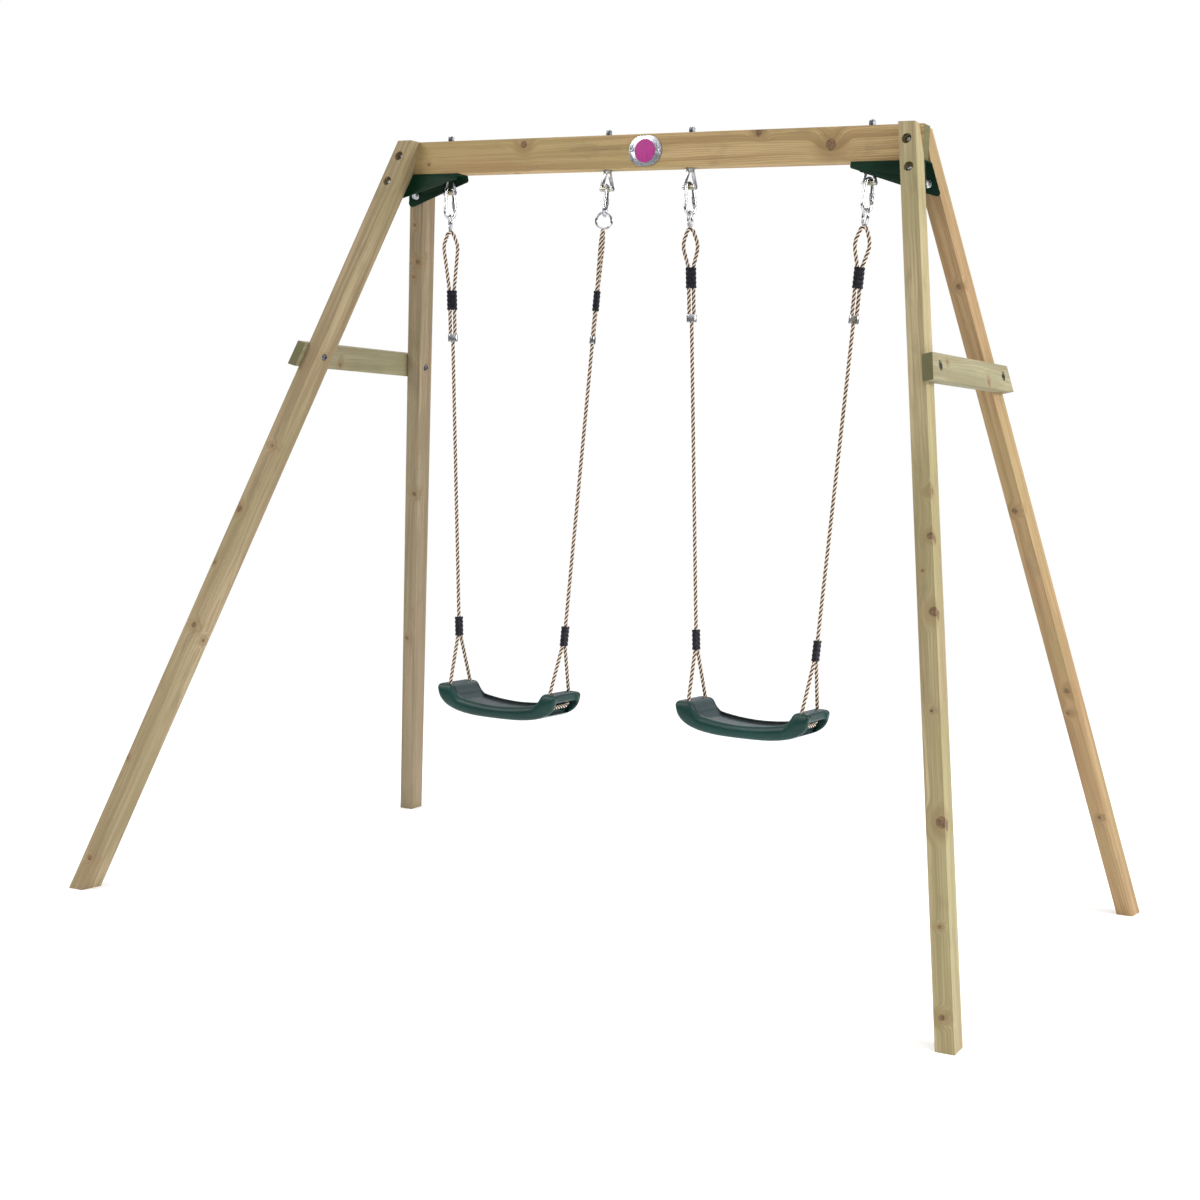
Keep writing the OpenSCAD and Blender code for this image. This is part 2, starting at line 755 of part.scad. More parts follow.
// Metal clips that join the two strands of a loop to the main rope.
module rope_clips(first) {
    color("silver") for (i = [first, first + 1]) at_loop(i)
        translate([0, 0, -adjuster_at[i] - adjuster_h - clip_drop - clip_h / 2]) difference() {
            ribbed_block(strand_gap + rope_d + 3, rope_d + 3, clip_h, 0.5);
            translate([0, 0, -1]) cylinder(d = grip_bore, h = clip_h / 2 + 1);
            for (m = [-1, 1]) translate([0, m * strand_gap / 2, clip_h / 2])
                cylinder(d = rope_bore, h = clip_h);
        }
}

// Clamps where each main rope divides to the front and rear of its seat.
module seat_clamps(first) {
    color("#2d2a3c") for (i = [first, first + 1]) at_chain(i)
        translate([0, 0, -chain_len(i) + clamp_rise]) difference() {
            ribbed_block(adjuster_w, adjuster_t, adjuster_h, 1);
            translate([0, 0, adjuster_h / 2]) cylinder(d = grip_bore, h = adjuster_h);
            for (m = [-1, 1]) translate([0, m * strand_gap / 2, -1])
                cylinder(d = rope_bore, h = adjuster_h / 2);
        }
}

// -------------------------------------------------------------------- seats

// Height of the seat's underside at x, which sweeps up at the ends.
function under(x) = (seat_h - 6) * (1 - pow(1 - pow(abs(x) / (seat_len / 2), seat_curve), 1 / seat_curve));
// Height of the rims at x, between the raised ends.
function rim(x) = rim_mid + (rim_end - rim_mid) * pow(x / rim_x, 2);

// Points along half of a curve, from one x to another in equal steps.
function half_curve(from, to, steps) = [for (k = [0 : steps]) from + (to - from) * k / steps];

// Half of the seat's outline in the X-Z plane, from the middle to the end.
function outline(steps) = concat(
    [for (x = half_curve(0, seat_len / 2, steps)) [x, under(x)]],
    [[seat_len / 2 - 5, seat_h - 1], [seat_len / 2 - 9, seat_h], [end_x + 10, seat_h],
     [end_x + 2, seat_h - 6], [rim_x + 14, rim_end + 12]],
    [for (x = half_curve(rim_x, 0, 8)) [x, rim(x)]]
);

// A closed outline from its right half, whose ends lie on the middle line.
function both_sides(half) = concat(
    half,
    [for (k = [len(half) - 2 : -1 : 1]) [-half[k][0], half[k][1]]]
);

module seat_outline() {
    polygon(both_sides(outline(24)));
}

// The space above the pan, between the two rims and the raised ends.
module pan_outline() {
    polygon(both_sides(concat(
        [for (x = half_curve(0, rim_x - 4, 8)) [x, rim(x) - pan_deep]],
        [[rim_x + 8, rim_end + 8 - pan_deep / 2], [end_x - 4, seat_h - 8], [end_x + 2, seat_h + 2],
         [0, seat_h + 2]]
    )));
}

// The hollow inside, one wall thickness within the outline and the pan.
module hollow_outline() {
    w = seat_wall;
    last = seat_len / 2 - w;
    polygon(both_sides(concat(
        [for (x = half_curve(0, last - 4, 16)) [x, under(x * (1 + 1.6 * w / seat_len)) + w]],
        [[last, seat_h - 12], [last - 4, seat_h - w], [end_x + 14, seat_h - w],
         [end_x + 8, seat_h - w - 8], [rim_x + 14, rim_end - pan_deep / 2]],
        [for (x = half_curve(rim_x + 4, 0, 8)) [x, rim(x) - pan_deep - w]]
    )));
}

// A moulded seat: raised ends with rope holes, and a slot in each end face.
module seat(side) {
    z = side < 0 ? seat_left_z : seat_right_z;
    color("darkslategray") translate([side * swing_x, 0, z]) difference() {
        rotate([90, 0, 0]) linear_extrude(height = seat_w, center = true) seat_outline();
        rotate([90, 0, 0]) linear_extrude(height = pan_w, center = true) pan_outline();
        rotate([90, 0, 0]) linear_extrude(height = seat_w - 2 * seat_wall, center = true) hollow_outline();
        for (m = [-1, 1]) {
            for (y = [-1, 1]) {
                translate([m * hole_gap / 2, y * hole_depth / 2, seat_h - 20])
                    cylinder(d = seat_hole_d, h = 30);
                translate([m * seat_len / 2, y * (slot_w - slot_h) / 2, seat_h - slot_drop])
                    along_x(slot_h, -24, 24);
            }
            translate([m * seat_len / 2 - 24, -(slot_w - slot_h) / 2, seat_h - slot_drop - slot_h / 2])
                cube([48, slot_w - slot_h, slot_h]);
        }
    }
}

beam();
leg(-1, -1);  // leg_front_left
leg(1, -1);  // leg_front_right
leg(-1, 1);  // leg_rear_left
leg(1, 1);  // leg_rear_right
brace(-1);  // brace_left
brace(1);  // brace_right
bracket(-1);  // bracket_left
bracket(1);  // bracket_right
top_bolts();
bracket_bolts();
brace_bolts();
frame_nuts();
washers();
hanger_pins();
hanger_bushes();
hanger_nuts();
badge_plate();
badge_inlay();
badge_screws();
for (i = [0 : 3]) {
    hanger(i);
    hook(i);
    gate(i);
    sleeve(i);
    loop_rope(i);
    main_rope(i);
    seat_rope(i);
}
rings(0);  // rings_left
rings(2);  // rings_right
adjusters(0);  // adjusters_left
adjusters(2);  // adjusters_right
rope_clips(0);  // rope_clips_left
rope_clips(2);  // rope_clips_right
seat_clamps(0);  // seat_clamps_left
seat_clamps(2);  // seat_clamps_right
seat(-1);  // seat_left
seat(1);  // seat_right
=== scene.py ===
# %% [markdown]
# # A timber swing frame with two rope swings
# The measured model of the swing set comes from CAD as a fixed frame of named parts.
# This notebook dresses it: planed timber with knots, twisted rope, moulded seats and bright steel.
# Nothing here changes a size. A part either keeps its CAD mesh and gets a finish, or a finer
# piece is built in its place and rides on the same moving body.

# %% Load the measured frame
import json
import math

import bmesh
import bpy
import numpy as np
from mathutils import Matrix, Vector


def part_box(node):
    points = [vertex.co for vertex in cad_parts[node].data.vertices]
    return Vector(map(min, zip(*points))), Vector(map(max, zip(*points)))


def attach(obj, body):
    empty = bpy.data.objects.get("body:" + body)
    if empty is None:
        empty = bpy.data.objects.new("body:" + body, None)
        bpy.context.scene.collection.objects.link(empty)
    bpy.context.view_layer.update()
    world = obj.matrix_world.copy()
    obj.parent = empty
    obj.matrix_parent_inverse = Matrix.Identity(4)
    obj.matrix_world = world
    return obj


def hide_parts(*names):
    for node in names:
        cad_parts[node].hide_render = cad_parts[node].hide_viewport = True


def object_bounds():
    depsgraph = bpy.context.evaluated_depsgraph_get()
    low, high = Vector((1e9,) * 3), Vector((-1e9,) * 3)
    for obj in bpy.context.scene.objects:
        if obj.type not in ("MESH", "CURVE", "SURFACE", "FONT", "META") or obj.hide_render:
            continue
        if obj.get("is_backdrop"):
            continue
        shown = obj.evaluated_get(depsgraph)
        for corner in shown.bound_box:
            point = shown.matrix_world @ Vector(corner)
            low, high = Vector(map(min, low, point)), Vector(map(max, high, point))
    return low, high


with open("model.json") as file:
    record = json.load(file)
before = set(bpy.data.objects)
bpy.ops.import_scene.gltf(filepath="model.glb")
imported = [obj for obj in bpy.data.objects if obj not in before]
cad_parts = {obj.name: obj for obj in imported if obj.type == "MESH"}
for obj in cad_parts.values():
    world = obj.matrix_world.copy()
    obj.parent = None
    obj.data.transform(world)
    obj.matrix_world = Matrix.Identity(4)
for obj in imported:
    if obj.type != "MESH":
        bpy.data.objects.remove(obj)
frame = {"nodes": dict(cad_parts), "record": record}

cad_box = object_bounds()
nodes = frame["nodes"]
body_of = {n: b for b, members in frame["record"]["behaviour"]["bodies"].items() for n in members}
print(len(nodes), "parts loaded, box", [round(v, 3) for c in cad_box for v in c])

# %% [markdown]
# ## Camera
# The camera stands to the right of the front and looks slightly down. Aiming it with three angles
# keeps the numbers readable: a turn about the vertical, a tilt, and a small roll of the horizon.
# The roll is turned last, about the line of sight, so that it does not move the aim.

# %% Place the camera
turn, tilt, roll = (math.radians(a) for a in (26.70, 5.67, 2.57))
forward = Vector((-math.sin(turn) * math.cos(tilt), math.cos(turn) * math.cos(tilt), -math.sin(tilt)))
level = forward.cross(Vector((0, 0, 1))).normalized()
upright = level.cross(forward)
right = level * math.cos(roll) + upright * math.sin(roll)
camera = bpy.data.objects.new("camera", bpy.data.cameras.new("camera"))
camera.matrix_world = Matrix((right, right.cross(forward), -forward)).transposed().to_4x4()
camera.location = (2.5444, -4.6478, 1.2593)
camera.data.lens = 57.8
camera.data.shift_x, camera.data.shift_y = -0.08, 0.0357
bpy.context.scene.collection.objects.link(camera)
bpy.context.scene.camera = camera
bpy.context.scene.view_settings.view_transform = "Standard"

# %% [markdown]
# ## Shader arithmetic
# A finish is easier to read as a formula than as a web of nodes. `Wire` stands for one output of a
# shader node, and its operators add the Math or Vector Math node that the formula means.
# `Finish` makes a material, and its `node` method adds any other node.

# %% A socket with operators
class Wire:
    """One output of a shader node."""

    def __init__(self, finish, socket):
        self.finish, self.socket = finish, socket

    def join(self, operation, other, swap=False):
        pair = (other, self) if swap else (self, other)
        return self.finish.combine(operation, *pair)

    def __add__(self, other): return self.join("ADD", other)
    def __radd__(self, other): return self.join("ADD", other, True)
    def __sub__(self, other): return self.join("SUBTRACT", other)
    def __rsub__(self, other): return self.join("SUBTRACT", other, True)
    def __mul__(self, other): return self.join("MULTIPLY", other)
    def __rmul__(self, other): return self.join("MULTIPLY", other, True)
    def __truediv__(self, other): return self.join("DIVIDE", other)
    def __pow__(self, other): return self.join("POWER", other)


# %% A material that is written as formulas
class Finish:
    """A material, and the nodes that its formulas add."""

    def __init__(self, name):
        self.material = bpy.data.materials.new(name)
        self.material.use_nodes = True
        self.tree = self.material.node_tree
        self.shader = self.tree.nodes["Principled BSDF"]

    def plug(self, socket, value):
        if isinstance(value, Wire):
            self.tree.links.new(value.socket, socket)
        elif isinstance(value, tuple) and socket.type == "RGBA" and len(value) == 3:
            socket.default_value = (*value, 1)
        else:
            socket.default_value = value

    def node(self, kind, settings=None, inputs=None, output=0):
        made = self.tree.nodes.new(kind)
        for name, value in (settings or {}).items():
            setattr(made, name, value)
        for key, value in (inputs or {}).items():
            self.plug(made.inputs[key], value)
        return Wire(self, made.outputs[output])

    def combine(self, operation, *operands):
        wide = [isinstance(v, tuple) or isinstance(v, Wire) and v.socket.type != "VALUE" for v in operands]
        if not any(wide):
            return self.node("ShaderNodeMath", {"operation": operation}, dict(enumerate(operands)))
        spread = [(v,) * 3 if isinstance(v, (int, float)) else v for v in operands]
        return self.node("ShaderNodeVectorMath", {"operation": operation}, dict(enumerate(spread)))

    def place(self):
        return self.node("ShaderNodeTexCoord", output="Object")

    def attribute(self, name, output="Vector"):
        return self.node("ShaderNodeAttribute", {"attribute_name": name}, output=output)

    def noise(self, where, scale=1.0, detail=2.0, rough=0.5):
        return self.node("ShaderNodeTexNoise", {},
                         {"Vector": where, "Scale": scale, "Detail": detail, "Roughness": rough})

    def maths(self, operation, value):
        return self.node("ShaderNodeMath", {"operation": operation}, {0: value})

    def dot(self, a, b):
        return self.node("ShaderNodeVectorMath", {"operation": "DOT_PRODUCT"}, {0: a, 1: b}, "Value")

    def length(self, vector):
        return self.node("ShaderNodeVectorMath", {"operation": "LENGTH"}, {0: vector}, "Value")

    def axis(self, vector, index):
        return self.node("ShaderNodeSeparateXYZ", {}, {0: vector}, index)

    def normal(self):
        return self.node("ShaderNodeNewGeometry", output="Normal")

    def smooth(self, value, low, high):
        return self.node("ShaderNodeMapRange", {"interpolation_type": "SMOOTHSTEP"},
                         {"Value": value, "From Min": low, "From Max": high})

    def mix(self, share, a, b):
        return self.node("ShaderNodeMix", {"data_type": "RGBA"}, {0: share, 6: a, 7: b}, 2)

    def bump(self, height, distance, strength=1.0):
        return self.node("ShaderNodeBump", {}, {"Height": height, "Distance": distance, "Strength": strength})

    def surface(self, **sockets):
        for name, value in sockets.items():
            self.plug(self.shader.inputs[name.replace("_", " ")], value)
        return self.material


# %% [markdown]
# ## Rope
# Three strands laid round each other make each rope. Three separate tubes would meet in messy
# lines, so one closed profile with three lobes is swept along the route and turned as it goes:
# the turn is the lay of the rope. Geometry Nodes do this well, because the same tree serves
# every rope, and its lay and diameter are named inputs.

# %% The rope's finish
def rope_finish():
    """Beige fibre on the crowns of the strands and painted brown shade in the grooves."""
    f = Finish("polyhemp_rope")
    crest = f.attribute("crest", "Fac")
    at = f.place()
    fibre = f.noise(at * (1100, 1100, 160), 1, 2, 0.6)
    soiled = f.noise(at, 9, 2)
    crown = f.smooth(crest, 0.55, 0.92)
    beige = f.mix(f.smooth(fibre, 0.3, 0.7), (0.60, 0.46, 0.34), (0.95, 0.83, 0.70))
    beige = f.mix(f.smooth(soiled, 0.45, 0.75) * 0.25, beige, (0.50, 0.37, 0.27))
    # Painted shade: the grooves between the strands are coloured near black-brown for the shade that falls in
    # them.
    shade = f.mix(fibre, (0.018, 0.008, 0.006), (0.080, 0.038, 0.024))
    return f.surface(Base_Color=f.mix(crown, shade, beige), Roughness=0.78 + fibre * 0.15,
                     Normal=f.bump(fibre * 0.6 + crown, 0.0006, 0.6))


rope_skin = rope_finish()

# %% A node tree that lays rope along a route
LAY, STEP, GROOVE = 0.040, 0.0024, 0.36
STRANDS, PROFILE_POINTS = 3, 24


def rope_tree():
    """Path, diameter, lay and groove go in, and a twisted rope comes out."""
    tree = bpy.data.node_groups.new("lay_rope", "GeometryNodeTree")
    tree.interface.new_socket("Path", in_out="INPUT", socket_type="NodeSocketGeometry")
    for name in ("Diameter", "Lay", "Step", "Groove"):
        tree.interface.new_socket(name, in_out="INPUT", socket_type="NodeSocketFloat")
    tree.interface.new_socket("Rope", in_out="OUTPUT", socket_type="NodeSocketGeometry")

    def add(kind, settings=None, **inputs):
        made = tree.nodes.new(kind)
        for name, value in (settings or {}).items():
            setattr(made, name, value)
        for name, value in inputs.items():
            socket = made.inputs[int(name[1:]) if name[0] == "_" else name.replace("_", " ")]
            if isinstance(value, bpy.types.NodeSocket):
                tree.links.new(value, socket)
            else:
                socket.default_value = value
        return made.outputs

    def maths(operation, a, b=0.0):
        return add("ShaderNodeMath", {"operation": operation}, _0=a, _1=b)[0]

    inputs = tree.nodes.new("NodeGroupInput").outputs
    along = add("GeometryNodeResampleCurve", {"mode": "LENGTH"},
                Curve=inputs["Path"], Length=inputs["Step"])[0]
    length = add("GeometryNodeSplineParameter")["Length"]
    turned = maths("DIVIDE", maths("MULTIPLY", length, 2 * math.pi), inputs["Lay"])
    along = add("GeometryNodeSetCurveTilt", Curve=along, Tilt=turned)[0]
    circle = add("GeometryNodeCurvePrimitiveCircle", {"mode": "RADIUS"},
                 Resolution=PROFILE_POINTS, Radius=1.0)[0]
    turn_per_point = math.pi * STRANDS / PROFILE_POINTS
    around = maths("MULTIPLY", add("GeometryNodeInputIndex")[0], turn_per_point)
    lobe = maths("ABSOLUTE", maths("COSINE", around))
    circle = add("GeometryNodeStoreNamedAttribute", {"data_type": "FLOAT", "domain": "POINT"},
                 Geometry=circle, Name="crest", Value=lobe)[0]
    depth = maths("SUBTRACT", 1.0, maths("MULTIPLY", maths("SUBTRACT", 1.0, lobe), inputs["Groove"]))
    radius = maths("MULTIPLY", maths("MULTIPLY", inputs["Diameter"], 0.5), depth)
    scaled = add("ShaderNodeVectorMath", {"operation": "SCALE"},
                 _0=add("GeometryNodeInputPosition")[0], Scale=radius)[0]
    profile = add("GeometryNodeSetPosition", Geometry=circle, Position=scaled)[0]
    rope = add("GeometryNodeCurveToMesh", Curve=along, Profile_Curve=profile, Fill_Caps=True)[0]
    rope = add("GeometryNodeRealizeInstances", Geometry=rope)[0]
    rope = add("GeometryNodeSetMaterial", Geometry=rope, Material=rope_skin)[0]
    tree.links.new(rope, tree.nodes.new("NodeGroupOutput").inputs[0])
    return tree


lay_rope = rope_tree()


def mesh_of(source):
    """The mesh of an object after its modifiers."""
    bpy.context.view_layer.update()
    return bpy.data.meshes.new_from_object(source.evaluated_get(bpy.context.evaluated_depsgraph_get()))


def settled(made):
    """The object with its modifiers applied to its mesh."""
    made.data = mesh_of(made)
    made.modifiers.clear()
    return made


def made_by(tree, source, name, **sizes):
    """The plain mesh object that a node tree makes from a source object."""
    modifier = source.modifiers.new("made", "NODES")
    modifier.node_group = tree
    for item in tree.interface.items_tree:
        if item.in_out == "INPUT" and item.name in sizes:
            modifier[item.identifier] = sizes[item.name]
    mesh = mesh_of(source)
    bpy.data.objects.remove(source)
    piece = bpy.data.objects.new(name, mesh)
    bpy.context.scene.collection.objects.link(piece)
    for face in mesh.polygons:
        face.use_smooth = len(face.vertices) == 4
    return piece


def route(points):
    """A curve object along points."""
    curve = bpy.data.curves.new("route", "CURVE")
    curve.dimensions = "3D"
    spline = curve.splines.new("POLY")
    spline.points.add(len(points) - 1)
    for point, at in zip(spline.points, points):
        point.co = (*at, 1)
    made = bpy.data.objects.new("route", curve)
    bpy.context.scene.collection.objects.link(made)
    return made


# %% [markdown]
# ## The routes of the ropes
# Each swing hangs from two hangers. A chain of parts runs down from each: hook, ring, a loop of
# doubled rope through an adjuster, a clip, one long rope, and a clamp where the rope divides to
# the front and rear holes of the seat. All of it lies in a frame whose origin is the pivot, so
# every route is written as distances below the pivot and then turned into place.

# %% Sizes of the ropes, in metres
ROPE_D, STRAND_GAP = 0.011, 0.013
PIVOT_Z, HOLE_GAP, HANGER_GAP, SEAT_H = 1.960, 0.334, 0.515, 0.085
LOOP_TOP, LOOP_R, LOOP_NECK, BELLY_R, FLARE = 0.1211, 0.0094, 0.020, 0.060, 20
ADJUSTER_H, CLIP_DROP, CLAMP_RISE = 0.054, 0.080, 0.134
HOLE_Y, BEND_R, UNDER_R, UNDER_DROP = 0.051, 0.025, 0.015, 0.042
CHAINS = {
    "left_outer": dict(x=-0.642, side=-1, ring=-50, seat=0.481, adjuster=0.276),
    "left_inner": dict(x=-0.127, side=1, ring=20, seat=0.481, adjuster=0.276),
    "right_inner": dict(x=0.127, side=-1, ring=-50, seat=0.506, adjuster=0.213),
    "right_outer": dict(x=0.642, side=1, ring=-50, seat=0.506, adjuster=0.213),
}


def chain_frame(chain):
    """The frame of one chain, and its length from the pivot to the seat's holes."""
    height = PIVOT_Z - chain["seat"] - SEAT_H
    lean = math.atan((HANGER_GAP - HOLE_GAP) / 2 / height)
    turned = Matrix.Rotation(chain["side"] * lean, 4, "Y")
    return Matrix.Translation((chain["x"], 0, PIVOT_Z)) @ turned, height / math.cos(lean)


def arc(centre, r, start, end, steps):
    """Points on an arc in the plane of the two strands, with angles in degrees."""
    angles = np.radians(np.linspace(start, end, steps))
    return [(centre[0] + r * math.cos(a), centre[1] + r * math.sin(a)) for a in angles]


def both_halves(half):
    """A route and its mirror image, as points in space."""
    whole = [(-y, z) for y, z in reversed(half)] + half
    return [Vector((0, y, z)) for y, z in whole]


# %% Routes of a loop, a main rope and a seat rope
def loop_route(chain):
    """Over the ring, round a belly on each side and through the adjuster to the clip."""
    at, flare = chain["adjuster"], math.radians(FLARE)
    start = (LOOP_R * math.cos(flare), -LOOP_TOP + LOOP_R * math.sin(flare))
    belly = (start[0] + LOOP_NECK * math.sin(flare) - BELLY_R * math.cos(flare),
             start[1] - LOOP_NECK * math.cos(flare) - BELLY_R * math.sin(flare))
    away = (STRAND_GAP / 2 - belly[0], -at - belly[1])
    inward = (-math.degrees(math.atan2(away[1], away[0]))
              - math.degrees(math.acos(BELLY_R / math.hypot(*away))))
    half = arc((0, -LOOP_TOP), LOOP_R, 84, FLARE, 12) + arc(belly, BELLY_R, FLARE, -inward, 14)
    half += [(STRAND_GAP / 2, -at), (STRAND_GAP / 2, -at - ADJUSTER_H - CLIP_DROP)]
    return both_halves(half)


def main_route(chain, length):
    """From the clip straight down into the lower clamp."""
    top = -chain["adjuster"] - ADJUSTER_H - CLIP_DROP - 0.001
    return [Vector((0, 0, top)), Vector((0, 0, -length + CLAMP_RISE + ADJUSTER_H / 2))]


def seat_route(length):
    """Out of the clamp, down through both holes and round under the seat's end."""
    hole_z, low, under = -length - 0.005, -length + CLAMP_RISE, -length - UNDER_DROP
    away = (HOLE_Y - BEND_R - STRAND_GAP / 2, low - hole_z)
    bend = math.degrees(math.atan2(*away) + math.asin(BEND_R / math.hypot(*away)))
    half = [(STRAND_GAP / 2, low + ADJUSTER_H / 2 - 0.002), (STRAND_GAP / 2, low)]
    half += arc((HOLE_Y - BEND_R, hole_z), BEND_R, bend, 0, 7)
    half += arc((HOLE_Y - UNDER_R, under + UNDER_R), UNDER_R, 0, -90, 12)
    return both_halves(half[::-1])


# %% Lay the twelve ropes
def lay(name, points, chain_name, stands_for):
    """A twisted rope along points, riding on its swing."""
    piece = made_by(lay_rope, route(points), name, Diameter=ROPE_D, Lay=LAY, Step=STEP, Groove=GROOVE)
    body = "swing_" + chain_name.split("_")[0]
    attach(piece, body)
    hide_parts(stands_for)
    length = sum((b - a).length for a, b in zip(points, points[1:]))
    return length


used = 0.0
for chain_name, chain in CHAINS.items():
    straight, length = chain_frame(chain)
    looped = straight @ Matrix.Rotation(math.radians(chain["ring"]), 4, "Z")
    for name, part, turned, points in (("loop", "loop", looped, loop_route(chain)),
                                       ("main", "main", straight, main_route(chain, length)),
                                       ("under", "seat", straight, seat_route(length))):
        used += lay(f"{name}_{chain_name}", [turned @ p for p in points], chain_name,
                    f"{part}_rope_{chain_name}")
print("rope laid:", round(used, 2), "m")

# %% [markdown]
# ## Timber
# The frame is sawn and planed softwood, pressure treated, so it is tan with a green cast.
# A picture of grain stretched over a board never meets at the corners. Growth rings are a solid
# pattern, so the finish works out the distance from the pith of the log at each point of the
# board: the same formula then gives lines on the faces and arcs on the end grain.
# A knot is a branch that ran outwards from the pith, so it is a short cylinder in the same space,
# and the rings swerve round it.

# %% Timber as growth rings and knots
RINGS_PER_METRE, KNOT_FROM, KNOT_REACH = 210, -0.030, 5.5


def timber(name, pith, slope, knots, axis, tone, drift):
    """Treated softwood. Distances are metres in the board's own frame, whose Z is its length."""
    f = Finish(name)
    at = f.attribute("grain")
    parts = [f.axis(at, i) for i in range(3)]
    wander = f.noise(at * (16, 16, 1.6) + drift, 1, 3, 0.55)
    off_x = parts[0] - (parts[2] * slope[0] + pith[0])
    off_y = parts[1] - (parts[2] * slope[1] + pith[1])
    rings = (off_x * off_x + off_y * off_y) ** 0.5 * RINGS_PER_METRE + wander * 5.0
    core, halo = None, None
    for point, way, radius in knots:
        way = Vector(way).normalized()
        apart = at - tuple(point)
        deep = f.dot(apart, tuple(way))
        out = apart - f.node("ShaderNodeVectorMath", {"operation": "SCALE"}, {0: tuple(way), "Scale": deep})
        far = f.length(out) / radius + (wander - 0.5) * 1.3
        here = f.smooth(deep, KNOT_FROM, KNOT_FROM + 0.008)
        inside = f.smooth(far, 1.12, 0.88) * here
        around = f.smooth(far, KNOT_REACH, 0.6) * here
        rings = rings + around * around * 6.0
        core = inside if core is None else f.combine("MAXIMUM", core, inside)
        halo = around if halo is None else f.combine("MAXIMUM", halo, around)
    phase = f.maths("FRACT", rings)
    late = f.smooth(phase, 0.35, 0.93) * f.smooth(phase, 1.0, 0.95)
    banded = f.node("ShaderNodeCombineXYZ", {}, {0: rings * 0.34, 2: parts[2] * 1.1 + drift})
    bands = f.noise(banded, 1, 3, 0.62)
    streak = f.noise(at * (150, 150, 3.5) + drift, 1, 3, 0.6)
    broad = f.noise(at * (20, 20, 1.3) + drift, 1, 2, 0.5)
    green = f.noise(at * (9, 9, 2.2) - drift, 1, 2, 0.5)
    stain = f.noise(at * (26, 26, 9) + 2 * drift, 1, 4, 0.6)
    pale, deep_tone, olive = tone
    wood = f.mix(late * 0.48 + f.smooth(streak, 0.35, 0.7) * 0.30, pale, deep_tone)
    wood = f.mix(f.smooth(bands, 0.43, 0.60) * 0.72, wood, deep_tone)
    wood = f.mix(f.smooth(broad, 0.42, 0.68) * 0.38, wood, deep_tone)
    wood = f.mix(f.smooth(green, 0.42, 0.66) * 0.45, wood, olive)
    wood = f.mix(f.smooth(stain, 0.54, 0.70) * 0.30, wood, (0.20, 0.155, 0.085))
    shake = f.smooth(f.noise(at * (420, 420, 5) + drift, 1, 2, 0.5), 0.70, 0.78)
    wood = f.mix(shake * 0.5, wood, (0.12, 0.07, 0.03))
    wood = f.mix(f.smooth(halo, 0.20, 0.98) * 0.45, wood, (0.25, 0.155, 0.065))
    fleck = f.smooth(f.noise(at * (170, 170, 170), 1, 2), 0.3, 0.7)
    heart = f.mix(fleck, (0.09, 0.045, 0.024), (0.23, 0.130, 0.070))
    wood = f.mix(core * 0.80, wood, heart)
    end = f.smooth(f.maths("ABSOLUTE", f.dot(f.normal(), tuple(axis))), 0.72, 0.86)
    cut = f.mix(late * 0.7 + 0.15, (0.145, 0.138, 0.055), (0.065, 0.060, 0.022))
    wood = f.mix(end * 0.92, wood, cut)
    height = late * 0.5 + streak * 0.6 - shake * 1.5 + core * 0.4
    return f.surface(Base_Color=wood, Roughness=0.56 + streak * 0.22, Specular_IOR_Level=0.35,
                     Normal=f.bump(height, 0.0005, 0.55))


# %% [markdown]
# ## Boards with eased edges
# CAD boards have dead sharp edges. Real boards are planed with a small round on every edge, which
# catches the light. A copy of the CAD mesh has its loose triangles merged, its flat faces joined
# again, and a Bevel modifier rounds what is sharper than 30 degrees.

# %% Ease the edges of a copy of a CAD part
BEVEL_FROM, SHARP_FROM = math.radians(30), math.radians(32)


def eased(node, width, segments=2):
    """A copy of a CAD part with rounded edges, standing for it on the same body."""
    work = bmesh.new()
    work.from_mesh(nodes[node].data)
    bmesh.ops.remove_doubles(work, verts=work.verts, dist=2e-6)
    bmesh.ops.dissolve_limit(work, angle_limit=math.radians(0.8), verts=work.verts, edges=work.edges)
    mesh = bpy.data.meshes.new(node + "_eased")
    work.to_mesh(mesh)
    work.free()
    mesh.materials.clear()
    piece = bpy.data.objects.new(node + "_eased", mesh)
    bpy.context.scene.collection.objects.link(piece)
    bevel = piece.modifiers.new("ease", "BEVEL")
    bevel.width, bevel.segments, bevel.limit_method = width, segments, "ANGLE"
    bevel.angle_limit, bevel.harden_normals, bevel.miter_outer = BEVEL_FROM, False, "MITER_ARC"
    settled(piece)
    piece.data.shade_smooth()
    piece.data.set_sharp_from_angle(angle=SHARP_FROM)
    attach(piece, body_of[node])
    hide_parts(node)
    return piece


# %% Frames of the boards
FOOT_X, FOOT_Y, LEAN, SPLAY = 1.24524, 0.76358, math.radians(19.3), math.radians(12.4)
BEAM_Z, BRACE_Z, BRACE_OUT, BOARD_EASE = 2.055, 1.48, 0.036, 0.0022
BRACE_TILT = math.atan(math.tan(SPLAY) / math.cos(LEAN))
LEG = 1 / (math.cos(LEAN) * math.cos(SPLAY))


def leg_frame(s, q):
    """The frame of a leg at its foot, with Z up the leg. s is -1 left, 1 right; q is -1 front, 1 rear."""
    return (Matrix.Translation((s * FOOT_X, q * FOOT_Y, 0)) @ Matrix.Rotation(q * LEAN, 4, "X")
            @ Matrix.Rotation(-s * SPLAY, 4, "Y"))


def board_frame(centre, along, up):
    """A frame at centre, with Z along the board and Y up across it."""
    z = Vector(along).normalized()
    x = Vector(up).cross(z).normalized()
    made = Matrix((x, z.cross(x), z)).transposed().to_4x4()
    made.translation = centre
    return made


